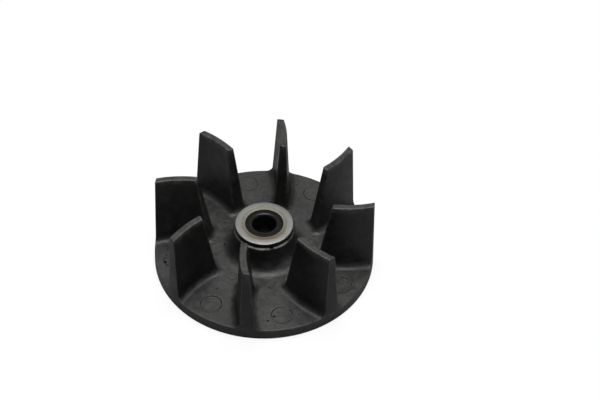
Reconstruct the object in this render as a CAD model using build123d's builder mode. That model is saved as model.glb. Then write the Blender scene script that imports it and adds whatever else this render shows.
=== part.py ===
"""Pump impeller: a moulded disc with eight curved blades, a flanged steel insert and a shaft bush.

Lengths are in millimetres and angles in degrees. The axis of rotation is Z, the blades stand
up along +Z, and the origin is the centre of the disc's flat back face.
"""
import os
from math import asin, atan, cos, degrees, radians, sin, tan

from build123d import *

os.makedirs("parts", exist_ok=True)

# Disc
disc_diameter = 76.0
disc_thickness = 4.0
rim_chamfer = 0.3

# Blades: each is a drafted wall bent to an arc, so that its leading edge, next to the hub, lags
# behind its tip
blade_count = 8
first_blade_angle = 36.15
blade_height = 26.5
blade_thickness = 2.3
blade_draft = 2.9
blade_sweep = 7.1
blade_camber_radius = 37.0
blade_top_chamfer = 0.3
tip_rake = 1.0
leading_edge_top_radius = 23.5
leading_edge_chamfer = 0.5
toe_gap = 4.2

# The fillet round each blade's root is drawn as a few flats that follow its arc
root_fillet_radius = 2.5
root_fillet_flats = 3

# Hub, which runs down into the disc in a cove
hub_diameter = 21.2
hub_height = 9.8
hub_edge_chamfer = 0.3
cove_radius = 4.5

# Steel insert: a sleeve through the hub, with a flange on top of it
sleeve_diameter = 16.0
flange_diameter = 20.0
flange_thickness = 1.9
flange_chamfer = 0.25

# Shaft bush inside the insert, flush with the flange
bush_diameter = 13.0
bore_diameter = 8.0
bore_lip_radius = 0.8

# Round marks of the mould's pins, one of each kind in every channel between two blades
pin_mark_diameter = 7.0
pin_mark_from_rim = 6.5
small_mark_diameter = 3.8
small_mark_from_cove = 2.0
mark_depth = 0.15

# Radii and levels that follow from the sizes above
rim_radius = disc_diameter / 2
hub_radius = hub_diameter / 2
sleeve_radius = sleeve_diameter / 2
flange_radius = flange_diameter / 2
bush_radius = bush_diameter / 2
bore_radius = bore_diameter / 2
root_level = disc_thickness / 2
blade_top = disc_thickness + blade_height
hub_top = disc_thickness + hub_height
flange_top = hub_top + flange_thickness
cove_foot_radius = hub_radius + cove_radius
toe_radius = cove_foot_radius + toe_gap
tip_radius = rim_radius - tip_rake
blank_radius = rim_radius + 2 * root_fillet_radius
blade_pitch = 360 / blade_count

# The leading edges lie on one cone round the eye, which leans outwards
eye_slope = (leading_edge_top_radius - toe_radius) / blade_height
eye_lean = degrees(atan(eye_slope))

# The camber line passes through the tip and the leading edge at the top of the first blade
tip_point = Vector(tip_radius, 0)
leading_point = Vector(leading_edge_top_radius, 0).rotate(Axis.Z, -blade_sweep)
chord = tip_point - leading_point
camber_offset = (blade_camber_radius**2 - (chord.length / 2) ** 2) ** 0.5
across_chord = chord.rotate(Axis.Z, 90).normalized()
camber_centre = (tip_point + leading_point) * 0.5 + across_chord * camber_offset
camber_angle = 2 * degrees(asin(chord.length / 2 / blade_camber_radius))

# The wall is turned past both ends of the camber line: inwards to the hub, and outwards past the rim
inner_extension = degrees((leading_edge_top_radius - hub_radius) / blade_camber_radius)
outer_extension = degrees((blank_radius - tip_radius) / blade_camber_radius)
wall_start = (leading_point - camber_centre).normalized().rotate(Axis.Z, -inner_extension)
wall_plane = Plane(origin=camber_centre, x_dir=wall_start, z_dir=wall_start.rotate(Axis.Z, -90))
wall_arc = inner_extension + camber_angle + outer_extension


def rim_at(level):
    """Radius of the rim's drafted surface at a level above the back face."""
    return rim_radius - tip_rake * level / blade_top


def root_flats(wall_foot, lean, side):
    """Corners of a root fillet's flats, from the disc up to a wall that leans away from the fillet.

    The wall would meet the disc at wall_foot, and side is the direction from the fillet to the
    wall. The centre of the fillet's circle is straight above its foot on the disc.
    """
    reach = root_fillet_radius * (1 / cos(radians(lean)) - tan(radians(lean)))
    foot = wall_foot - side * reach
    corners = []
    for step in range(root_fillet_flats + 1):
        turn = radians((90 - lean) * step / root_fillet_flats)
        across = foot + side * root_fillet_radius * sin(turn)
        corners.append((across, disc_thickness + root_fillet_radius * (1 - cos(turn))))
    return corners


def axis_distance(edge):
    """Distance of an edge's middle from the axis of rotation."""
    middle = edge @ 0.5
    return Vector(middle.X, middle.Y).length


def channel_middle(radius):
    """Angle from the first blade's tip to the middle of the next channel, at a radius."""
    inward = (tip_radius - radius) / (tip_radius - leading_edge_top_radius)
    return blade_pitch / 2 - blade_sweep * min(inward, 1)


# Blade: a wall with drafted faces and filleted roots, turned about the camber line's centre
root_half = blade_thickness / 2 + blade_height * tan(radians(blade_draft))
top_half = blade_thickness / 2 - blade_top_chamfer
shoulder_half = blade_thickness / 2 + blade_top_chamfer * tan(radians(blade_draft))
shoulder_level = blade_top - blade_top_chamfer
inner_flats = root_flats(blade_camber_radius - root_half, blade_draft, 1)
outer_flats = root_flats(blade_camber_radius + root_half, blade_draft, -1)
eye_flats = root_flats(toe_radius, eye_lean, 1)

with BuildPart() as blade:
    with BuildSketch(wall_plane):
        with BuildLine():
            Polyline(
                (inner_flats[0][0], root_level),
                *inner_flats,
                (blade_camber_radius - shoulder_half, shoulder_level),
                (blade_camber_radius - top_half, blade_top),
                (blade_camber_radius + top_half, blade_top),
                (blade_camber_radius + shoulder_half, shoulder_level),
                *reversed(outer_flats),
                (outer_flats[0][0], root_level),
                close=True,
            )
        make_face()
    revolve(axis=Axis(camber_centre, (0, 0, 1)), revolution_arc=wall_arc)

    # The cone round the eye trims the leading edge, and the root fillet runs on round its toe
    with BuildSketch(Plane.XZ):
        with BuildLine():
            Polyline(
                (eye_flats[0][0], root_level),
                *eye_flats,
                (leading_edge_top_radius - eye_slope * blade_top_chamfer, shoulder_level),
                (leading_edge_top_radius + blade_top_chamfer, blade_top),
                (2 * blank_radius, blade_top),
                (2 * blank_radius, root_level),
                close=True,
            )
        make_face()
    revolve(axis=Axis.Z, mode=Mode.INTERSECT)
    long_edges = blade.edges().filter_by(lambda edge: edge.length > blade_height / 2)
    chamfer(sorted(long_edges, key=axis_distance)[:2], leading_edge_chamfer)

# Impeller body: disc, hub and blades moulded in one piece
with BuildPart() as impeller_body:
    # Disc and hub, turned as one section with the seat for the insert's sleeve
    with BuildSketch(Plane.XZ):
        with BuildLine():
            base = Polyline(
                (hub_radius, hub_top - hub_edge_chamfer),
                (hub_radius - hub_edge_chamfer, hub_top),
                (sleeve_radius, hub_top),
                (sleeve_radius, 0),
                (blank_radius, 0),
                (blank_radius, disc_thickness),
                (cove_foot_radius, disc_thickness),
            )
            cove = RadiusArc(base @ 1, (hub_radius, disc_thickness + cove_radius), cove_radius)
            Line(cove @ 1, base @ 0)
        make_face()
    revolve(axis=Axis.Z)

    with PolarLocations(0, blade_count, start_angle=first_blade_angle):
        add(blade.part)

    # Rim and blade tips share one drafted surface, whose section stands between two blades
    section_angle = first_blade_angle + blade_pitch / 2
    section_plane = Plane(
        origin=(0, 0, 0),
        x_dir=Vector(1, 0, 0).rotate(Axis.Z, section_angle),
        z_dir=Vector(0, -1, 0).rotate(Axis.Z, section_angle),
    )
    with BuildSketch(section_plane):
        with BuildLine():
            Polyline(
                (0, 0),
                (rim_radius - rim_chamfer, 0),
                (rim_at(rim_chamfer), rim_chamfer),
                (rim_at(shoulder_level), shoulder_level),
                (tip_radius - blade_top_chamfer, blade_top),
                (0, blade_top),
                close=True,
            )
        make_face()
    revolve(axis=Axis.Z, mode=Mode.INTERSECT)

    # Shallow round marks in the channels
    pin_mark_circle = rim_radius - pin_mark_from_rim
    small_mark_circle = cove_foot_radius + small_mark_from_cove
    for circle_radius, mark_diameter in (
        (pin_mark_circle, pin_mark_diameter),
        (small_mark_circle, small_mark_diameter),
    ):
        first_mark_angle = first_blade_angle + channel_middle(circle_radius)
        with BuildSketch(Plane.XY.offset(disc_thickness - mark_depth)):
            with PolarLocations(circle_radius, blade_count, start_angle=first_mark_angle):
                Circle(mark_diameter / 2)
        extrude(amount=2 * mark_depth, mode=Mode.SUBTRACT)

impeller_body.part.label = "impeller_body"
export_step(impeller_body.part, "parts/impeller_body.step")

# Steel insert, with its flange bearing on the hub
with BuildPart() as hub_insert:
    with BuildSketch(Plane.XZ):
        with BuildLine():
            Polyline(
                (bush_radius, 0),
                (sleeve_radius, 0),
                (sleeve_radius, hub_top),
                (flange_radius, hub_top),
                (flange_radius, flange_top),
                (bush_radius, flange_top),
                close=True,
            )
        make_face()
    revolve(axis=Axis.Z)
    top_edges = hub_insert.edges().filter_by_position(Axis.Z, flange_top, flange_top)
    chamfer(top_edges.sort_by(SortBy.RADIUS)[-1], flange_chamfer)

hub_insert.part.label = "hub_insert"
export_step(hub_insert.part, "parts/hub_insert.step")

# Shaft bush: a plain sleeve with a rounded mouth at the front
with BuildPart() as shaft_bush:
    Cylinder(bush_radius, flange_top, align=(Align.CENTER, Align.CENTER, Align.MIN))
    Cylinder(bore_radius, flange_top, align=(Align.CENTER, Align.CENTER, Align.MIN), mode=Mode.SUBTRACT)
    mouth = shaft_bush.edges().filter_by_position(Axis.Z, flange_top, flange_top).sort_by(SortBy.RADIUS)[0]
    fillet(mouth, bore_lip_radius)

shaft_bush.part.label = "shaft_bush"
export_step(shaft_bush.part, "parts/shaft_bush.step")
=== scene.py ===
# %% [markdown]
# # Dressing a moulded pump impeller
# The CAD frame holds three solids: the moulded body with its disc, hub and eight blades, the steel
# insert with its flange, and the dark bush round the shaft bore. They have the right sizes, but
# their fillets are a few flats and their edges are sharp. This lesson works out each visible
# surface again as a fine grid, gives it the finish of the real material, and lights it softly.

# %% Load the frame
import math

import bpy
import numpy as np
from mathutils import Matrix, Vector


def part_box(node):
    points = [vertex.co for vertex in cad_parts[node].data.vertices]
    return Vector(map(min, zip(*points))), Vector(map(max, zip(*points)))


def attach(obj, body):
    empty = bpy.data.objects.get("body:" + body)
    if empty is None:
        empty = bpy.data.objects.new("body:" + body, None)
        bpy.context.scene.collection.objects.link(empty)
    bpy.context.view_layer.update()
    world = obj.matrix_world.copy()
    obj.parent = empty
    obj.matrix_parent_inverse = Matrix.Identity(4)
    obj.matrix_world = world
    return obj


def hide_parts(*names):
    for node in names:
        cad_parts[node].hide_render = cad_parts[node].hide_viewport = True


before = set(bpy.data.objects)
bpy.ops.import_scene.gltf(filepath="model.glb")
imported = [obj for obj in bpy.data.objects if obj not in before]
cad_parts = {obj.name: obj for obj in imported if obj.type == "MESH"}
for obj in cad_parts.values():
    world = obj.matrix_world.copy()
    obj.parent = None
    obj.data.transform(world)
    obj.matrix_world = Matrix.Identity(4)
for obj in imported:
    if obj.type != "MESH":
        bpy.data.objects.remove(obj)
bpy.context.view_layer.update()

# %% [markdown]
# ## Sizes
# A blade is a wall bent to an arc. Its centre line, the camber line, passes through the tip and
# through the leading edge at the top. The wall is thin at the top and leans 2.9 degrees on each
# side, so that the moulding leaves its tool. All lengths are millimetres until a mesh is made. The
# rim and the tips are 0.015 mm smaller than the CAD's, so that the fine grids stay inside its box.

# %% Sizes of the impeller
MM = 0.001
RIM_RADIUS = 37.985
DISC_TOP = 4.0
BLADE_TOP = 30.5
BLADES = 8
FIRST_BLADE = math.radians(36.15)
PITCH = 2 * math.pi / BLADES
TIP_RADIUS = 36.985
TOP_HALF = 1.15
DRAFT_ANGLE = math.radians(2.9)
DRAFT = math.tan(DRAFT_ANGLE)
CAMBER_RADIUS = 37.0
SWEEP = math.radians(7.1)
EYE_RADIUS = 23.5
COVE_FOOT = 15.1
TOE_RADIUS = 19.3
EYE_SLOPE = (EYE_RADIUS - TOE_RADIUS) / (BLADE_TOP - DISC_TOP)
FILLET = 2.5
CORNER = 0.55
TOP_ROUND = 0.4
RIM_ROUND = 0.3
RIM_CHAMFER = 0.3
HUB_RADIUS = 10.6
HUB_TOP = 13.8
HUB_ROUND = 0.3
COVE = 4.5
SEAT_RADIUS = 8.0
FLANGE_RADIUS = 10.0
FLANGE_TOP = 15.7
FLANGE_ROUND = 0.25
BUSH_RADIUS = 6.5
BORE_RADIUS = 4.0
BORE_LIP = 0.8
PIN_CIRCLE, PIN_MARK = 31.5, 7.0
SMALL_CIRCLE, SMALL_MARK = 17.1, 3.8

tip = np.array([TIP_RADIUS, 0.0])
leading = EYE_RADIUS * np.array([math.cos(SWEEP), -math.sin(SWEEP)])
chord = tip - leading
across = np.array([-chord[1], chord[0]]) / np.hypot(*chord)
camber_rise = math.sqrt(CAMBER_RADIUS**2 - np.dot(chord, chord) / 4)
camber_centre = (tip + leading) / 2 + across * camber_rise
centre_distance = float(np.hypot(*camber_centre))
centre_angle = math.atan2(camber_centre[1], camber_centre[0])
print("camber centre:", camber_centre.round(3))

# %% [markdown]
# ## Helpers for surfaces
# Every new piece is one or more grids of points. A grid becomes two triangles for each cell,
# points that lie on each other are merged, and triangles that shrank to a line are dropped. That
# closes seams and poles without any search by hand. `zip_rings` joins two rings that have
# different numbers of points.


# %% Grids to meshes
def grid_triangles(rows, columns, first=0, flip=False):
    """Two triangles for each cell of a grid whose points are numbered row by row from first."""
    corner = (np.arange(rows - 1)[:, None] * columns + np.arange(columns - 1)).ravel() + first
    a, b, c, d = corner, corner + 1, corner + columns + 1, corner + columns
    triangles = np.concatenate([np.stack([a, b, c], 1), np.stack([a, c, d], 1)])
    return triangles[:, ::-1] if flip else triangles


def merged(points, triangles, grain=2e-4):
    """Makes points that share a place one, and leaves out triangles that have no area.

    Gives the points that stay, the triangles, and the old number of each point that stays.
    """
    _, first, number = np.unique(
        np.round(points / grain).astype(np.int64), axis=0, return_index=True, return_inverse=True
    )
    triangles = number.reshape(-1)[triangles]
    whole = (
        (triangles[:, 0] != triangles[:, 1])
        & (triangles[:, 1] != triangles[:, 2])
        & (triangles[:, 2] != triangles[:, 0])
    )
    return points[first], triangles[whole], first


def make_piece(name, points, triangles, sharp_angle=35):
    """A smooth mesh object at the origin, from points in millimetres.

    Edges that turn by more than sharp_angle degrees stay sharp. The Weighted Normal modifier lets
    large faces decide the shading, so that flat faces look flat right up to a rounded edge.
    """
    mesh = bpy.data.meshes.new(name)
    mesh.from_pydata((points * MM).tolist(), [], triangles.tolist())
    mesh.polygons.foreach_set("use_smooth", np.ones(len(triangles), bool))
    mesh.set_sharp_from_angle(angle=math.radians(sharp_angle))
    mesh.update()
    piece = bpy.data.objects.new(name, mesh)
    bpy.context.scene.collection.objects.link(piece)
    weighting = piece.modifiers.new("shade by large faces", "WEIGHTED_NORMAL")
    weighting.keep_sharp = True
    print(name, "points", len(points), "triangles", len(triangles))
    return piece


def turned(profile, angles):
    """Grid of points of a profile of (radius, height) rows turned through angles about the axis."""
    radius, height = profile[:, 0][:, None], profile[:, 1][:, None]
    return np.stack(
        [radius * np.cos(angles), radius * np.sin(angles), height + 0 * angles], axis=-1
    )


def arc(centre_r, centre_z, radius, start, end, steps):
    """Points of a circle's arc in a profile; angles in degrees, counted from outwards to upwards."""
    turn = np.radians(np.linspace(start, end, steps + 1))
    return np.stack([centre_r + radius * np.cos(turn), centre_z + radius * np.sin(turn)], 1)


def zip_rings(outer_angles, inner_angles, outer_first, inner_first):
    """Triangles between two rings, numbered from outer_first and inner_first in order of angle.

    The steps of both rings are sorted by angle. Each step joins its own edge to the point that
    the other ring has reached by then.
    """
    count_out, count_in = len(outer_angles), len(inner_angles)
    angles = np.concatenate([outer_angles, inner_angles])
    is_outer = np.arange(count_out + count_in) < count_out
    order = np.argsort(angles, kind="stable")
    is_outer = is_outer[order]
    at_out = np.cumsum(is_outer) - 1
    at_in = np.cumsum(~is_outer) - 1
    before_out, before_in = at_out - is_outer, at_in - ~is_outer
    new = np.where(is_outer, outer_first + at_out % count_out, inner_first + at_in % count_in)
    return np.stack(
        [outer_first + before_out % count_out, inner_first + before_in % count_in, new], 1
    )


# %% [markdown]
# ## The blade's outline at each height
# Seen from above, a blade at one height is a bent strip with a rounded inner end. So three numbers
# for each height give its outline: half the wall's thickness, the radius of the circle that ends
# it next to the eye, and the radius of its two corners. Near the disc all three follow the root
# fillet, a circle that is tangent to the disc and to the wall, and near the top they shrink round
# the edge.


# %% Outline sizes by height
def fillet_reach(slope):
    """How far a fillet's foot lies from the foot of a wall that leans by slope."""
    return FILLET * (math.sqrt(1 + slope**2) - slope)


def beside_fillet(rise, slope):
    """Distance of the filleted wall from the fillet's foot, at a rise above the disc.

    Below the tangent point it is the circle, sqrt(r^2 - (r - rise)^2), and above it the wall.
    """
    tangent_rise = FILLET * (1 - slope / math.sqrt(1 + slope**2))
    circle = np.sqrt(np.maximum(FILLET**2 - (FILLET - np.minimum(rise, tangent_rise)) ** 2, 0))
    wall = fillet_reach(slope) + slope * rise
    return np.where(rise < tangent_rise, circle, wall)


FILLET_STEPS = 8
WALL_STEPS = 11
TOP_TURNS = 4
SMALLEST_CORNER = 0.15

root_half = TOP_HALF + (BLADE_TOP - DISC_TOP) * DRAFT
fillet_turn = np.linspace(0, math.pi / 2 - DRAFT_ANGLE, FILLET_STEPS + 1)
top_turn = np.radians(np.linspace(0, 90, TOP_TURNS + 1))
rise = np.concatenate([
    FILLET * (1 - np.cos(fillet_turn)),
    np.linspace(FILLET, BLADE_TOP - DISC_TOP - TOP_ROUND, WALL_STEPS + 1)[1:-1],
    BLADE_TOP - DISC_TOP - TOP_ROUND * (1 - np.sin(top_turn)),
])
inset = np.zeros(len(rise))
inset[-len(top_turn):] = TOP_ROUND * (1 - np.cos(top_turn))
half_width = root_half + fillet_reach(DRAFT) - beside_fillet(rise, DRAFT) - inset
end_radius = TOE_RADIUS - fillet_reach(EYE_SLOPE) + beside_fillet(rise, EYE_SLOPE) + inset
corner_radius = np.maximum(CORNER + half_width - (root_half - rise * DRAFT), SMALLEST_CORNER)
print("levels:", len(rise))
print("half width from", half_width.max().round(2), "to", half_width.min().round(2), "mm")

# %% [markdown]
# ## Points along an outline
# The outline is a U that is open at the rim: in along one side, round the first corner, along the
# inner end, round the second corner and out again. The same number of points lies on each stretch
# at every height, so the outlines join into one grid. Where two circles cross gives the corners
# and the ends at the rim.

# %% Outline points
SIDE_STEPS = 52
CORNER_STEPS = 4
END_STEPS = 8


def crossing(radius_about_camber, radius_about_axis):
    """Polar angle, about the axis, where a circle about the camber centre meets one about the axis.

    The cosine rule on the triangle of the axis, the camber centre and the crossing gives it. Of
    the two crossings, the one on the blade has the smaller angle.
    """
    cosine = (
        radius_about_axis**2 + centre_distance**2 - radius_about_camber**2
    ) / (2 * radius_about_axis * centre_distance)
    return centre_angle - np.arccos(cosine)


def polar(radius, angle):
    """The x and y of a point from its radius and angle about the axis."""
    return np.stack([radius * np.cos(angle), radius * np.sin(angle)], -1)


def side_points(half, corner, end, rim, side):
    """Points of one side of the outline, from the rim to where the corner starts."""
    wall = CAMBER_RADIUS + side * half
    corner_centre = polar(end + corner, crossing(wall - side * corner, end + corner))
    towards = corner_centre - camber_centre
    inner = np.arctan2(towards[..., 1], towards[..., 0])
    rim_point = polar(rim, crossing(wall, rim)) - camber_centre
    outer = np.arctan2(rim_point[..., 1], rim_point[..., 0])
    share = np.linspace(0, 1, SIDE_STEPS)
    turn = outer[:, None] + (inner - outer)[:, None] * share
    wall = np.broadcast_to(np.asarray(wall, float), half.shape)[:, None]
    return camber_centre + polar(wall, turn), corner_centre


def corner_points(side_end, end_start, centre, radius):
    """Points of a corner's arc, between its two tangent points."""
    first = np.arctan2(*(side_end - centre).T[::-1])
    last = np.arctan2(*(end_start - centre).T[::-1])
    step = (last - first + math.pi) % (2 * math.pi) - math.pi
    share = np.linspace(0, 1, CORNER_STEPS + 2)[1:-1]
    return centre[:, None] + polar(radius[:, None], first[:, None] + step[:, None] * share)


def outlines(half, corner, end, rim):
    """All outlines as an array of (height, point along the U, x and y)."""
    near, near_centre = side_points(half, corner, end, rim, -1)
    far, far_centre = side_points(half, corner, end, rim, 1)
    near_angle = np.arctan2(near_centre[:, 1], near_centre[:, 0])
    far_angle = np.arctan2(far_centre[:, 1], far_centre[:, 0])
    share = np.linspace(0, 1, END_STEPS)
    end_arc = polar(end[:, None], near_angle[:, None] + (far_angle - near_angle)[:, None] * share)
    first = corner_points(near[:, -1], end_arc[:, 0], near_centre, corner)
    second = corner_points(far[:, -1], end_arc[:, -1], far_centre, corner)
    return np.concatenate([near, first, end_arc, second[:, ::-1], far[:, ::-1]], axis=1)


rim_at = RIM_RADIUS - (RIM_RADIUS - TIP_RADIUS) * (DISC_TOP + rise) / BLADE_TOP - RIM_ROUND
blade_outlines = outlines(half_width, corner_radius, end_radius, rim_at)
print("outline grid:", blade_outlines.shape)

# %% [markdown]
# ## From the blade's foot to the middle of the channel
# The floor between two blades is flat, apart from the shallow marks of the mould's round pins. It
# is filled by lines from each point of the blade's foot to the border of its sector: the camber
# line turned by half a pitch, and the foot of the hub's cove. Radius and angle are mixed
# separately, so that the floor follows the round rim and the round cove.

# %% Floor and blade top
FLOOR_STEPS = 34
TOP_STEPS = 3


def border_angle(radius, side):
    """Angle of the sector's border at a radius: the camber line turned half a pitch."""
    return crossing(CAMBER_RADIUS, radius) - side * PITCH / 2


foot = blade_outlines[0]
foot_radius, foot_angle = np.hypot(*foot.T), np.arctan2(foot[:, 1], foot[:, 0])
side_share = np.linspace(0, 1, SIDE_STEPS)
border_radius = foot_radius[0] + (COVE_FOOT - foot_radius[0]) * side_share
cove_points = 2 * CORNER_STEPS + END_STEPS
cove_share = np.linspace(0, 1, cove_points + 2)[1:-1]
cove_start, cove_end = border_angle(np.array([COVE_FOOT, COVE_FOOT]), np.array([-1, 1]))
outer_radius = np.concatenate([border_radius, np.full(cove_points, COVE_FOOT), border_radius[::-1]])
outer_angle = np.concatenate([
    border_angle(border_radius, -1),
    cove_start + (cove_end - cove_start) * cove_share,
    border_angle(border_radius, 1)[::-1],
])
mix = np.linspace(0, 1, FLOOR_STEPS + 1)[1:, None]
floor_xy = polar(
    foot_radius + (outer_radius - foot_radius) * mix,
    foot_angle + (outer_angle - foot_angle) * mix,
)
floor = np.concatenate([floor_xy, np.full((*floor_xy.shape[:2], 1), DISC_TOP)], axis=-1)
walls = np.concatenate(
    [blade_outlines, np.broadcast_to((DISC_TOP + rise)[:, None, None], (*blade_outlines.shape[:2], 1))],
    axis=-1,
)
ridge_end = end_radius[-1] + half_width[-1]
ridge_radius = rim_at[-1] + (ridge_end - rim_at[-1]) * side_share
ridge_xy = polar(ridge_radius, crossing(CAMBER_RADIUS, ridge_radius))
ridge_xy = np.concatenate([ridge_xy, np.repeat(ridge_xy[-1:], cove_points, 0), ridge_xy[::-1]])
top_mix = np.linspace(0, 1, TOP_STEPS + 1)[1:, None, None]
top_xy = walls[-1, :, :2] + (ridge_xy - walls[-1, :, :2]) * top_mix
top = np.concatenate([top_xy, np.full((*top_xy.shape[:2], 1), BLADE_TOP)], axis=-1)
sector = np.concatenate([floor[::-1], walls, top], axis=0)
print("sector grid:", sector.shape)

# %% [markdown]
# ## Marks of the mould's pins
# Pins push the moulding out of its tool, and each leaves a round mark a little below the floor.
# They could be a texture, but here they are real: the points of the floor inside each circle go
# down, with a short ramp at the edge. The CAD's marks are 0.15 mm deep and these are 0.06 mm,
# because a deeper one catches more light than the marks in the photo do.

# %% Pin marks
MARK_DEPTH = 0.06
MARK_RAMP = 0.5


def pressed_in(points, radius, diameter):
    """How far points of the floor lie down in the round marks at a radius.

    The depth falls from full to none along a smooth ramp, 3t^2 - 2t^3, at the mark's edge. The mark
    stands in the middle of the channel, which runs back by the blade's sweep on its way inwards.
    """
    depth = np.zeros(points.shape[:-1])
    inward = min((TIP_RADIUS - radius) / (TIP_RADIUS - EYE_RADIUS), 1)
    for middle in (PITCH / 2, -PITCH / 2):
        centre = polar(np.array(radius), middle - SWEEP * inward)
        away = np.hypot(*np.moveaxis(points[..., :2] - centre, -1, 0))
        t = np.clip((diameter / 2 + MARK_RAMP / 2 - away) / MARK_RAMP, 0, 1)
        depth = np.maximum(depth, MARK_DEPTH * (3 * t**2 - 2 * t**3))
    return depth


on_floor = np.abs(sector[..., 2] - DISC_TOP) < 1e-9
marks = pressed_in(sector, PIN_CIRCLE, PIN_MARK) + pressed_in(sector, SMALL_CIRCLE, SMALL_MARK)
depth = np.where(on_floor, marks, 0)
sector[..., 2] -= depth
print("deepest mark:", depth.max().round(3), "mm")

# %% [markdown]
# ## The rim
# The grid of a sector stops a quarter of a millimetre short of the rim. There a quarter circle
# turns its edge over: out from the surface along the radius, and down along the surface's own
# normal. From the rounded edge, columns run straight down the rim to the chamfer at the back. Under
# a blade's tip the columns start at the top, so they are the blade's end face too.

# %% Rim grid
RIM_TURNS = 4
RIM_ROWS = 7
edge_in = sector[:, 0]
edge_out = sector[::-1, -1]
edge = np.concatenate([edge_in, edge_out[1:]])
edge_radius = np.hypot(edge[:, 0], edge[:, 1])
edge_angle = np.arctan2(edge[:, 1], edge[:, 0])
along = np.gradient(edge_angle * edge_radius), np.gradient(edge[:, 2])
length = np.hypot(*along)
normal_t, normal_z = along[1] / length, -along[0] / length
gamma = np.radians(np.linspace(0, 90, RIM_TURNS + 1))[1:, None]
turned_in = RIM_ROUND * (1 - np.cos(gamma))
ring_radius = edge_radius + RIM_ROUND * np.sin(gamma)
ring_angle = edge_angle - normal_t * turned_in / edge_radius
ring_z = edge[:, 2] - normal_z * turned_in
down = np.linspace(0, 1, RIM_ROWS)[1:, None]
wall_z = ring_z[-1] + (RIM_CHAMFER - ring_z[-1]) * down
wall_radius = RIM_RADIUS - (RIM_RADIUS - TIP_RADIUS) * wall_z / BLADE_TOP
wall_angle = np.broadcast_to(ring_angle[-1], wall_z.shape)
back_radius = np.full_like(edge_radius, RIM_RADIUS - RIM_CHAMFER)
rim_radius = np.concatenate([edge_radius[None], ring_radius, wall_radius, back_radius[None]])
rim_angle = np.concatenate([edge_angle[None], ring_angle, wall_angle, ring_angle[-1:]])
rim_z = np.concatenate([edge[None, :, 2], ring_z, wall_z, np.zeros((1, len(edge)))])
rim = np.concatenate([polar(rim_radius, rim_angle), rim_z[..., None]], axis=-1)
print("rim grid:", rim.shape, "normal z from", normal_z.min().round(2), "to", normal_z.max().round(2))

# %% [markdown]
# ## The hub
# The hub is turned. Its profile starts at the foot of the cove, with the same points round the
# circle as the floor has, so that both merge. A knock has left a small nick in its edge, in front:
# the rows of points round the edge go down and in there, most at the nick's middle and less and
# less on the way to its ends. One more row below the edge stops the painted highlight on the
# edge from running down the wall.

# %% Hub grid
COVE_STEPS = 10
HUB_STEPS = 4
# How far below the hub's rounded edge the painted highlight on it fades out.
EDGE_HIGHLIGHT_FADE = 0.6
NICK_ANGLE = math.radians(284)
NICK_DEPTH = 0.45
NICK_REACH = 0.9

hub_profile = np.concatenate([
    arc(COVE_FOOT, DISC_TOP + COVE, COVE, 270, 180, COVE_STEPS),
    np.array([[HUB_RADIUS, HUB_TOP - HUB_ROUND - EDGE_HIGHLIGHT_FADE]]),
    arc(HUB_RADIUS - HUB_ROUND, HUB_TOP - HUB_ROUND, HUB_ROUND, 0, 90, HUB_STEPS),
    np.array([[SEAT_RADIUS, HUB_TOP], [SEAT_RADIUS, 0.0]]),
])
hub_edge_rows = slice(COVE_STEPS + 2, COVE_STEPS + HUB_STEPS + 3)
hub_angles = np.concatenate([[cove_start], cove_start + (cove_end - cove_start) * cove_share])
ring = hub_angles + FIRST_BLADE + PITCH * np.arange(BLADES)[:, None]
ring = np.sort(ring.ravel() % (2 * math.pi))
hub = turned(hub_profile, np.append(ring, ring[0] + 2 * math.pi))
nick_away = np.abs((np.append(ring, ring[0]) - NICK_ANGLE + math.pi) % (2 * math.pi) - math.pi)
nick = NICK_DEPTH * np.clip(1 - nick_away * HUB_RADIUS / NICK_REACH, 0, 1)
hub[hub_edge_rows, :, 2] -= nick
hub[hub_edge_rows, :, :2] *= (1 - 0.5 * nick / HUB_RADIUS)[:, None]
print("hub grid:", hub.shape, "deepest nick:", nick.max().round(2), "mm")

# %% [markdown]
# ## One body from eight sectors
# The sector and its rim are turned to the places of the eight blades and joined to the hub. The
# flat back joins the rim's many points to the few of the insert's seat by zipping two rings.


# %% Whole body
def spun(points, number):
    """Points turned to the place of blade number."""
    turn = FIRST_BLADE + number * PITCH
    c, s = math.cos(turn), math.sin(turn)
    return points @ np.array([[c, s, 0], [-s, c, 0], [0, 0, 1]])


def stacked(grids):
    """Grids of points as one list of points, with the triangles of all grids."""
    points, triangles, count = [], [], 0
    for grid in grids:
        points.append(grid.reshape(-1, 3))
        triangles.append(grid_triangles(*grid.shape[:2], count))
        count += grid.shape[0] * grid.shape[1]
    return points, triangles, count


grids = [spun(grid, number) for number in range(BLADES) for grid in (sector, rim)]
points, triangles, count = stacked([*grids, hub])
back_out = np.concatenate([spun(rim[-1], number) for number in range(BLADES)])
back_angles, kept = np.unique(
    np.round(np.arctan2(back_out[:, 1], back_out[:, 0]) % (2 * math.pi), 9), return_index=True
)
back_in = hub[-1, :-1]
triangles.append(zip_rings(back_angles, ring, count, count + len(kept)))
body_points, body_triangles, origin_of = merged(
    np.concatenate([*points, back_out[kept], back_in]), np.concatenate(triangles)
)
body = make_piece("impeller_moulding", body_points, body_triangles)
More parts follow.
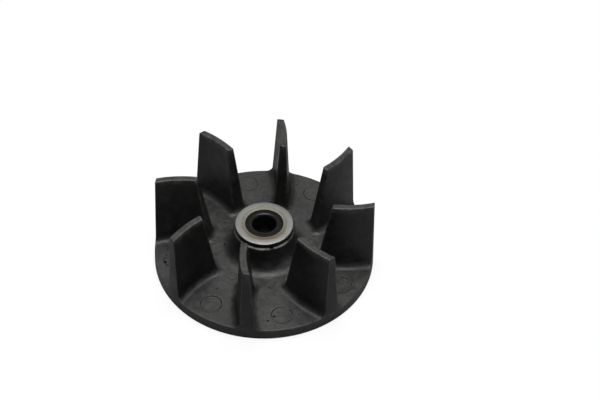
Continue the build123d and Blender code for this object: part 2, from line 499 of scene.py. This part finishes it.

# %% [markdown]
# ## Where edges wear, and painted highlight and sheen
# Handling rubs the raised edges: the rounded tops of the blades, the corners of their leading edges
# and the rim. The flat tops of the blades get a smaller number, a painted sheen. The mesh knows
# where these are, so it keeps a number for each point, and the material can read it: 0 where the
# skin is whole, 1 where it is rubbed, and up to 2 on the hub's edge on the side that faces the
# camera, a painted highlight that stops in the nick.

# %% Wear, painted highlight and painted sheen at each point
sector_wear_and_sheen = np.zeros(sector.shape[:2])
top_rows = slice(FLOOR_STEPS + len(rise) - len(top_turn), FLOOR_STEPS + len(rise))
wall_rows = slice(FLOOR_STEPS + len(fillet_turn), FLOOR_STEPS + len(rise))
corner_columns = [*range(SIDE_STEPS, SIDE_STEPS + CORNER_STEPS)]
corner_columns += [-1 - column for column in corner_columns]
sector_wear_and_sheen[wall_rows, corner_columns] = 0.6
sector_wear_and_sheen[top_rows] = 1.0
# Painted sheen: the flat tops of the blades are made a little lighter.
sector_wear_and_sheen[top_rows.stop:] = 0.4
rim_wear = np.zeros(rim.shape[:2])
rim_wear[: RIM_TURNS + 1] = 0.8
hub_edge_highlight = np.zeros(hub.shape[:2])
# Painted highlight: the hub's edge is lighter only on the side that faces the camera, and not in the
# nick.
faces_front = np.clip(-np.sin(np.append(ring, ring[0])), 0, 1)
hub_edge_highlight[hub_edge_rows] = 2 * faces_front * (1 - nick / NICK_DEPTH)
wear_and_highlight = np.concatenate([
    *[part.ravel() for _ in range(BLADES) for part in (sector_wear_and_sheen, rim_wear)],
    hub_edge_highlight.ravel(),
    np.zeros(len(kept) + len(back_in)),
])
layer = body.data.attributes.new("wear_and_highlight", "FLOAT", "POINT")
layer.data.foreach_set("value", wear_and_highlight[origin_of].astype(np.float32))
print("points marked as worn:", int((wear_and_highlight[origin_of] > 0.01).sum()))

# %% [markdown]
# ## Insert and bush
# A lathe makes both, so both are turned profiles that close on themselves. Each edge gets a small
# round, because an edge without one has no highlight. The flange's lower edge is rounded as well,
# and leaves a dark line where it sits on the hub.

# %% Turned pieces
TURN_STEPS = 192
EDGE = 0.12


def turned_piece(name, profile):
    """A closed turned piece from a profile that runs up the inside and down the outside."""
    angles = np.linspace(0, 2 * math.pi, TURN_STEPS + 1)
    grid = turned(np.concatenate([profile, profile[:1]]), angles)
    points, triangles, _ = merged(grid.reshape(-1, 3), grid_triangles(*grid.shape[:2], flip=True))
    return make_piece(name, points, triangles)


insert = turned_piece("hub_insert_steel", np.concatenate([
    np.array([[BUSH_RADIUS, 0.0]]),
    arc(BUSH_RADIUS + EDGE, FLANGE_TOP - EDGE, EDGE, 180, 90, 4),
    np.array([[SEAT_RADIUS, FLANGE_TOP]]),
    arc(FLANGE_RADIUS - FLANGE_ROUND, FLANGE_TOP - FLANGE_ROUND, FLANGE_ROUND, 90, 0, 6),
    arc(FLANGE_RADIUS - EDGE, HUB_TOP + EDGE, EDGE, 0, -90, 4),
    np.array([[SEAT_RADIUS, HUB_TOP], [SEAT_RADIUS, 0.0]]),
]))
bush = turned_piece("shaft_bush_sintered", np.concatenate([
    np.array([[BORE_RADIUS, 0.0], [BORE_RADIUS, FLANGE_TOP / 2]]),
    arc(BORE_RADIUS + BORE_LIP, FLANGE_TOP - BORE_LIP, BORE_LIP, 180, 90, 10),
    arc(BUSH_RADIUS - EDGE, FLANGE_TOP - EDGE, EDGE, 90, 0, 4),
    np.array([[BUSH_RADIUS, 0.0]]),
]))

# %% [markdown]
# ## Each piece stands for its CAD node
# The new meshes replace the three CAD nodes in the picture, and the simulation keeps the CAD ones.
# Each piece rides on the same body.

# %% Tie the pieces to the frame
for piece, cad_node, material_slot in (
    (body, "impeller_body", "body"),
    (insert, "hub_insert", "insert"),
    (bush, "shaft_bush", "bush"),
):
    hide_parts(cad_node)
    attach(piece, "root")
    low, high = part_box(cad_node)
    print(piece.name, "stands for", cad_node, [round(v, 5) for v in (*low, *high)])

# %% [markdown]
# ## Building materials from nodes
# A few short helpers keep the materials readable. One adds a node and fills its inputs, the others
# make a colour ramp and a remapped range. All patterns read Object coordinates, so they stay fixed
# to the part.


# %% Node helpers
def add(tree, kind, inputs=None, **settings):
    """A node of a kind. An input takes a plain value, or the output socket of another node."""
    made = tree.nodes.new(kind)
    for key, value in settings.items():
        setattr(made, key, value)
    for key, value in (inputs or {}).items():
        if isinstance(value, bpy.types.NodeSocket):
            tree.links.new(value, made.inputs[key])
        else:
            made.inputs[key].default_value = value
    return made


def ramp(tree, factor, *stops):
    """Colour ramp from stops of (position, grey or colour)."""
    made = add(tree, "ShaderNodeValToRGB", {"Fac": factor})
    elements = made.color_ramp.elements
    while len(elements) < len(stops):
        elements.new(0.5)
    for element, (position, colour) in zip(elements, stops):
        element.position = position
        element.color = (*colour, 1) if isinstance(colour, tuple) else (colour,) * 3 + (1,)
    return made.outputs["Color"]


def spread(tree, value, low, high, to_low=0.0, to_high=1.0):
    """A value remapped smoothly from the range low..high to the range to_low..to_high."""
    return add(
        tree, "ShaderNodeMapRange",
        {"Value": value, "From Min": low, "From Max": high, "To Min": to_low, "To Max": to_high},
        interpolation_type="SMOOTHSTEP",
    ).outputs["Result"]


def blend_colours(tree, factor, first, second):
    """Mixes two colours by a factor."""
    made = add(tree, "ShaderNodeMix", {0: factor, 6: first, 7: second}, data_type="RGBA")
    return made.outputs[2]


def noise(tree, coordinates, scale, detail=4.0, roughness=0.55, **settings):
    """Noise whose features measure about 1 / scale metres."""
    inputs = {"Vector": coordinates, "Scale": scale, "Detail": detail, "Roughness": roughness}
    return add(tree, "ShaderNodeTexNoise", inputs, **settings).outputs["Fac"]


def combine(tree, operation, first, second):
    """One arithmetic step on two values."""
    return add(tree, "ShaderNodeMath", {0: first, 1: second}, operation=operation).outputs[0]


def from_axis(tree, coordinates):
    """Distance of a point from the axis of rotation, in metres."""
    flat = add(tree, "ShaderNodeVectorMath", {0: coordinates, 1: (1, 1, 0)}, operation="MULTIPLY")
    length = add(tree, "ShaderNodeVectorMath", {0: flat.outputs[0]}, operation="LENGTH")
    return length.outputs["Value"]


def new_material(name):
    """A material with its node tree, its Principled shader and the Object coordinates."""
    material = bpy.data.materials.new(name)
    material.use_nodes = True
    tree = material.node_tree
    coordinates = tree.nodes.new("ShaderNodeTexCoord").outputs["Object"]
    return material, tree, tree.nodes["Principled BSDF"], coordinates


# %% [markdown]
# ## Thin rings round the pin marks
# Round each pin mark runs a hairline where the pin met its hole, and dirt keeps to it. Eight equal
# sectors need only one set of nodes: the angle about the axis is folded into one sector, and the
# distance from the mark's centre tells how near a point is to the hairline.


# %% Hairline nodes
def folded(tree, coordinates):
    """Object coordinates turned into the sector between the first two blades, at height 0."""
    parts = add(tree, "ShaderNodeSeparateXYZ", {0: coordinates}).outputs
    angle = combine(tree, "ARCTAN2", parts["Y"], parts["X"])
    shifted = combine(tree, "SUBTRACT", angle, FIRST_BLADE - SWEEP)
    in_sector = combine(tree, "FLOORED_MODULO", shifted, PITCH)
    radius = from_axis(tree, coordinates)
    sides = [combine(tree, "MULTIPLY", radius, combine(tree, operation, in_sector, 0.0))
             for operation in ("COSINE", "SINE")]
    return add(tree, "ShaderNodeCombineXYZ", {"X": sides[0], "Y": sides[1]}).outputs[0]


def hairline(tree, place, mark_radius, diameter, width):
    """1 on the circle round a pin mark and 0 away from it."""
    inward = min((TIP_RADIUS - mark_radius) / (TIP_RADIUS - EYE_RADIUS), 1)
    angle = PITCH / 2 - SWEEP * inward + SWEEP
    centre = (mark_radius * math.cos(angle) * MM, mark_radius * math.sin(angle) * MM, 0)
    away = add(tree, "ShaderNodeVectorMath", {0: place, 1: centre}, operation="DISTANCE")
    off = combine(tree, "ABSOLUTE",
                  combine(tree, "SUBTRACT", away.outputs["Value"], diameter * MM / 2), 0.0)
    return spread(tree, off, width * MM * 0.3, width * MM, 1.0, 0.0)


# %% [markdown]
# ## Moulded plastic: the skin
# Black moulding plastic is a very dark grey with a satin skin. Under soft light it shows cloudy
# patches where the skin is duller. Dust settles on what lies flat, so the disc is hazier than the
# blades: the height above the disc fades the haze out.

# %% Plastic skin
plastic, tree, shader, coordinates = new_material("moulded plastic, dark satin")
clouds = noise(tree, coordinates, 110.0, 6.0, 0.65)
smears = noise(tree, coordinates, 330.0, 4.0, 0.6)
grain = noise(tree, coordinates, 2600.0, 2.0, 0.5)
skin = ramp(tree, clouds, (0.34, (0.012, 0.012, 0.0116)), (0.52, (0.018, 0.018, 0.0175)),
            (0.70, (0.028, 0.028, 0.0267)))
level = add(tree, "ShaderNodeSeparateXYZ", {0: coordinates}).outputs["Z"]
low_down = spread(tree, level, (DISC_TOP + 0.2) * MM, (DISC_TOP + 1.6) * MM, 1.0, 0.0)
haze = combine(tree, "MULTIPLY", low_down, spread(tree, clouds, 0.30, 0.62, 0.5, 1.0))
skin = blend_colours(tree, haze, skin, (0.040, 0.040, 0.0385, 1))
streaks = combine(tree, "MULTIPLY", spread(tree, smears, 0.32, 0.70, 0.74, 1.25),
                  spread(tree, noise(tree, coordinates, 1000.0, 3.0), 0.30, 0.70, 0.80, 1.22))
skin = add(tree, "ShaderNodeVectorMath", {0: skin, 1: streaks}, operation="MULTIPLY").outputs[0]
print("nodes for the skin:", len(tree.nodes))

# %% [markdown]
# ## Moulded plastic: worn edges and painted highlights
# The attribute that the mesh carries tells where the edges are rubbed, and where a highlight and a
# sheen are painted. Noise makes the wear patchy, because nothing rubs an edge evenly, and the
# painted highlight as well. Near 2, on the hub's edge, the colour goes to a light grey: a painted
# highlight.

# %% Plastic wear and painted highlight
wear_and_highlight_here = add(tree, "ShaderNodeAttribute", attribute_name="wear_and_highlight").outputs["Fac"]
rubbed_and_highlit = combine(tree, "MULTIPLY", wear_and_highlight_here, spread(tree, smears, 0.36, 0.62, 0.2, 0.9))
# Painted highlight: values above 0.9 go towards light grey, most on the hub's edge, whose values reach
# 2.
bare_and_highlit = blend_colours(tree, spread(tree, wear_and_highlight_here, 0.9, 2.0), (0.080, 0.079, 0.075, 1),
                     (0.30, 0.295, 0.27, 1))
colour = blend_colours(tree, rubbed_and_highlit, skin, bare_and_highlit)
print("nodes with the wear:", len(tree.nodes))

# %% [markdown]
# ## Moulded plastic: rings, pits and flecks
# Three kinds of small dark places share one value, from 0 to 1: the rings round the pin marks, a few
# pits where gas was trapped or grit hit, and flecks. A pit is a ball of darkness: a point within the
# pit's radius of its centre is dark. A fleck sits in the middle of a Voronoi cell, and the cell's
# random colour decides whether it has one.

# %% Plastic marks
PITS = (
    (3.3, -31.5, 4.0, 0.6), (1.2, -33.4, 4.0, 0.5), (-13.8, 0.8, 4.2, 0.5),
    (-15.9, -19.4, 4.0, 0.4), (2.6, -11.8, 5.25, 0.36), (-33.8, -7.1, 4.0, 0.65),
)
place = folded(tree, coordinates)
faint = combine(tree, "MULTIPLY", hairline(tree, place, SMALL_CIRCLE, SMALL_MARK, 0.2),
                spread(tree, clouds, 0.48, 0.60, 0.0, 0.6))
lines = combine(tree, "MAXIMUM", hairline(tree, place, PIN_CIRCLE, PIN_MARK, 0.24), faint)
lines = combine(tree, "MULTIPLY", lines, low_down)
pitted = combine(tree, "MULTIPLY", lines, spread(tree, smears, 0.42, 0.57, 0.10, 0.95))
for x, y, z, radius in PITS:
    away = add(tree, "ShaderNodeVectorMath", {0: coordinates, 1: (x * MM, y * MM, z * MM)},
               operation="DISTANCE").outputs["Value"]
    pit = spread(tree, away, radius * MM * 0.5, radius * MM, 1.0, 0.0)
    pitted = combine(tree, "MAXIMUM", pitted, pit)
flecks = add(tree, "ShaderNodeTexVoronoi", {"Vector": coordinates, "Scale": 420.0})
chosen = add(tree, "ShaderNodeSeparateColor", {0: flecks.outputs["Color"]}).outputs[0]
fleck = combine(tree, "MULTIPLY", spread(tree, flecks.outputs["Distance"], 0.06, 0.13, 1.0, 0.0),
                spread(tree, chosen, 0.66, 0.72, 0.0, 0.9))
pitted = combine(tree, "MAXIMUM", pitted, combine(tree, "MULTIPLY", fleck, low_down))
colour = blend_colours(tree, pitted, colour, (0.006, 0.006, 0.006, 1))
print("nodes with the marks:", len(tree.nodes))

# %% [markdown]
# ## Moulded plastic: relief and gloss
# The smears and the grain raise the skin by a few hundredths of a millimetre, and the dark places
# are sunk. A rough hole throws back no gleam, so the dark places lose their gloss as well.

# %% Plastic surface
height = combine(tree, "SUBTRACT", combine(tree, "ADD", spread(tree, smears, 0.2, 0.8, 0.0, 0.6),
                                           spread(tree, grain, 0.2, 0.8, 0.0, 0.25)), pitted)
bump = add(tree, "ShaderNodeBump", {"Strength": 0.4, "Distance": 0.00012, "Height": height})
tree.links.new(colour, shader.inputs["Base Color"])
tree.links.new(spread(tree, smears, 0.3, 0.7, 0.36, 0.52), shader.inputs["Roughness"])
tree.links.new(bump.outputs["Normal"], shader.inputs["Normal"])
tree.links.new(spread(tree, pitted, 0.0, 1.0, 0.42, 0.04), shader.inputs["Specular IOR Level"])
body.data.materials.append(plastic)
print("plastic nodes:", len(tree.nodes))

# %% [markdown]
# ## Turned steel
# The lathe leaves fine rings on the flange. They follow the distance from the axis, so a noise of
# that one number gives them. Round its inner edge the steel is stained brown, where old grease and
# rust sit against the bush, more in front than at the back; noise moves the stain's border in and
# out. The flange's side is painted nearly black, as painted shade.

# %% Steel colours
STAIN_FULL = 7.9
STAIN_END = 9.8
BANDS_END = 8.8
steel, tree, shader, coordinates = new_material("turned steel, stained")
radius = from_axis(tree, coordinates)
parts = add(tree, "ShaderNodeSeparateXYZ", {0: coordinates}).outputs
rings = add(tree, "ShaderNodeTexNoise", {"W": radius, "Scale": 9000.0, "Detail": 3.0},
            noise_dimensions="1D").outputs["Fac"]
patches = noise(tree, coordinates, 260.0, 3.0, 0.55)
specks = noise(tree, coordinates, 1900.0, 2.0, 0.5)
metal = ramp(tree, patches, (0.3, (0.26, 0.256, 0.24)), (0.7, (0.32, 0.32, 0.31)))
moved = combine(tree, "ADD", radius, spread(tree, patches, 0.3, 0.7, -0.25 * MM, 0.25 * MM))
bands = ramp(tree, spread(tree, moved, BUSH_RADIUS * MM, BANDS_END * MM),
             (0.0, (0.18, 0.168, 0.125)), (0.16, (0.16, 0.143, 0.096)),
             (0.38, (0.13, 0.112, 0.068)), (0.56, (0.18, 0.160, 0.112)),
             (0.85, (0.26, 0.247, 0.212)))
in_front = spread(tree, parts["Y"], -9 * MM, 4 * MM, 1.0, 0.5)
near_bush = spread(tree, moved, STAIN_FULL * MM, STAIN_END * MM, 1.0, 0.0)
stain = combine(tree, "MULTIPLY", near_bush, in_front)
colour = blend_colours(tree, stain, metal, bands)
speck = spread(tree, specks, 0.70, 0.76)
colour = blend_colours(tree, speck, colour, (0.10, 0.085, 0.06, 1))
# Painted shade: below the flange's top face the steel is made nearly black.
side = spread(tree, parts["Z"], (FLANGE_TOP - 0.5) * MM, (FLANGE_TOP - 0.28) * MM, 1.0, 0.0)
colour = blend_colours(tree, side, colour, (0.03, 0.029, 0.026, 1))
print("nodes for the colours:", len(tree.nodes))

# %% [markdown]
# ## Turned steel: gloss
# Clean steel is a metal with a fair gloss. The stain is a film on it, which is duller and reflects
# less like a metal.

# %% Steel surface
roughness = spread(tree, stain, 0.0, 1.0, 0.38, 0.62)
bump = add(tree, "ShaderNodeBump", {"Strength": 0.25, "Distance": 0.00002, "Height": rings})
tree.links.new(colour, shader.inputs["Base Color"])
tree.links.new(roughness, shader.inputs["Roughness"])
tree.links.new(spread(tree, stain, 0.0, 1.0, 1.0, 0.55), shader.inputs["Metallic"])
tree.links.new(bump.outputs["Normal"], shader.inputs["Normal"])
insert.data.materials.append(steel)
print("steel nodes:", len(tree.nodes))

# %% [markdown]
# ## Sintered metal
# The bush is pressed from powder and soaked in oil, so it is dark and finely porous, and smoother
# where the shaft has rubbed its mouth. The mouth is painted lighter too, a painted highlight on its
# rounded lip. The distance from the axis tells the mouth from the rest.

# %% Bush material
sintered, tree, shader, coordinates = new_material("sintered metal, oiled")
pores = noise(tree, coordinates, 3800.0, 3.0, 0.6)
patches = noise(tree, coordinates, 700.0, 3.0, 0.6)
colour = ramp(tree, patches, (0.3, (0.006, 0.006, 0.005)), (0.7, (0.011, 0.0105, 0.009)))
colour = blend_colours(tree, spread(tree, pores, 0.60, 0.68), colour, (0.015, 0.015, 0.015, 1))
bump = add(tree, "ShaderNodeBump", {"Strength": 0.3, "Distance": 0.00003, "Height": pores})
mouth_start, mouth_end = (BORE_RADIUS + BORE_LIP + more for more in (-0.1, 0.2))
rubbed_mouth_and_highlight = spread(tree, from_axis(tree, coordinates), mouth_start * MM, mouth_end * MM, 1.0, 0.0)
# Painted highlight: the mouth is lighter than the rest of the bush.
colour = blend_colours(tree, rubbed_mouth_and_highlight, colour, (0.03, 0.03, 0.029, 1))
polish = combine(tree, "MULTIPLY", rubbed_mouth_and_highlight, 0.24)
roughness = combine(tree, "SUBTRACT", spread(tree, patches, 0.3, 0.7, 0.38, 0.5), polish)
tree.links.new(colour, shader.inputs["Base Color"])
tree.links.new(roughness, shader.inputs["Roughness"])
tree.links.new(bump.outputs["Normal"], shader.inputs["Normal"])
shader.inputs["Metallic"].default_value = 0.6
shader.inputs["Specular IOR Level"].default_value = 0.25
bush.data.materials.append(sintered)
print("bush nodes:", len(tree.nodes))

# %% [markdown]
# ## Floor and sky
# Product photos of this kind are cut out on white. The part itself stood on something greyer, which
# throws little light up its sides. So the floor has two faces: plain grey for the light that
# bounces, and near white for the camera. The camera's face mixes a white surface with a glow, so
# that it keeps a trace of the part's shadow. The sky is even and dim, and white for the camera.

# %% Floor and world
SKY = 0.08
floor_mesh = bpy.data.meshes.new("paper")
floor_mesh.from_pydata([(-2, -2, 0), (2, -2, 0), (2, 2, 0), (-2, 2, 0)], [], [(0, 1, 2, 3)])
paper = bpy.data.objects.new("paper", floor_mesh)
bpy.context.scene.collection.objects.link(paper)
paper_white, tree, shader, _ = new_material("paper")
shader.inputs["Base Color"].default_value = (0.35, 0.35, 0.35, 1)
shader.inputs["Roughness"].default_value = 0.9
shader.inputs["Specular IOR Level"].default_value = 0.1
white = add(tree, "ShaderNodeBsdfDiffuse", {"Color": (0.8, 0.8, 0.8, 1)})
glow = add(tree, "ShaderNodeEmission", {"Color": (1, 1, 1, 1), "Strength": 1.08})
lifted = add(tree, "ShaderNodeMixShader", {0: 0.8, 1: white.outputs[0], 2: glow.outputs[0]})
seen = add(tree, "ShaderNodeLightPath")
shown = add(tree, "ShaderNodeMixShader",
            {0: seen.outputs["Is Camera Ray"], 1: shader.outputs[0], 2: lifted.outputs[0]})
tree.links.new(shown.outputs[0], tree.nodes["Material Output"].inputs["Surface"])
floor_mesh.materials.append(paper_white)

world = bpy.data.worlds.new("light tent")
world.use_nodes = True
bpy.context.scene.world = world
tree = world.node_tree
sky = tree.nodes["Background"]
sky.inputs["Color"].default_value = (1, 1, 1, 1)
sky.inputs["Strength"].default_value = SKY
backdrop = add(tree, "ShaderNodeBackground", {"Color": (1, 1, 1, 1), "Strength": 1.0})
seen = add(tree, "ShaderNodeLightPath")
both = add(tree, "ShaderNodeMixShader",
           {0: seen.outputs["Is Camera Ray"], 1: sky.outputs[0], 2: backdrop.outputs[0]})
tree.links.new(both.outputs[0], tree.nodes["World Output"].inputs["Surface"])
print("sky strength:", SKY)

# %% [markdown]
# ## Lamps
# One large soft lamp hangs over the part, a little behind it. It lights the floors of the channels
# and the flange, skims the cove, and leaves the blades' steep faces dark, as in the photo. A weaker
# one stands to the right and opens up the faces that look that way. A third hangs behind, where a
# flat surface mirrors it into the camera, and gives the floors and the flange their sheen.

# %% Soft lamps
def soft_lamp(name, place, target, width, power):
    """A square lamp of a width in metres that looks at a target."""
    lamp = bpy.data.lights.new(name, "AREA")
    lamp.shape = "SQUARE"
    lamp.size = width
    lamp.energy = power
    made = bpy.data.objects.new(name, lamp)
    made.location = place
    made.rotation_mode = "QUATERNION"
    made.rotation_quaternion = (Vector(target) - Vector(place)).to_track_quat("-Z", "Y")
    bpy.context.scene.collection.objects.link(made)
    print(name, [round(v, 3) for v in place], power, "W")
    return made


LAMP_HEIGHT = 0.7
LAMP_BACK = LAMP_HEIGHT * math.tan(math.radians(3))
top_lamp = soft_lamp("top lamp", (0.0, LAMP_BACK, LAMP_HEIGHT), (0, 0, 0.01), 0.45, 4.2)
side_lamp = soft_lamp("side lamp", (0.62, -0.22, 0.30), (0, 0, 0.01), 0.3, 0.45)
back_lamp = soft_lamp("back lamp", (0.0, 0.47, 0.52), (0, 0, 0.01), 0.4, 0.4)

# %% [markdown]
# ## Camera
# The photo looks down at about 48 degrees with a long lens. The camera stands on a line from the
# point it looks at, and is rolled by a degree and a half, because the photo is tilted that much.

# %% Camera
LENS = 83.15
DISTANCE = 0.48421
ELEVATION = 0.8304
ROLL = 0.0265
aim = Vector((0.01198, 0.0, 0.02690))
place = Vector((0, -DISTANCE * math.cos(ELEVATION), DISTANCE * math.sin(ELEVATION)))
forward = (aim - place).normalized()
level_right = forward.cross(Vector((0, 0, 1))).normalized()
level_up = level_right.cross(forward)
right = math.cos(ROLL) * level_right + math.sin(ROLL) * level_up
up = -math.sin(ROLL) * level_right + math.cos(ROLL) * level_up
camera_data = bpy.data.cameras.new("camera")
camera_data.lens = LENS
camera_data.sensor_width = 36.0
camera = bpy.data.objects.new("camera", camera_data)
camera.location = place
camera.rotation_mode = "QUATERNION"
camera.rotation_quaternion = Matrix((right, up, -forward)).transposed().to_quaternion()
bpy.context.scene.collection.objects.link(camera)
bpy.context.scene.camera = camera
bpy.context.scene.view_settings.view_transform = "Standard"
print("camera at", [round(v, 4) for v in place])
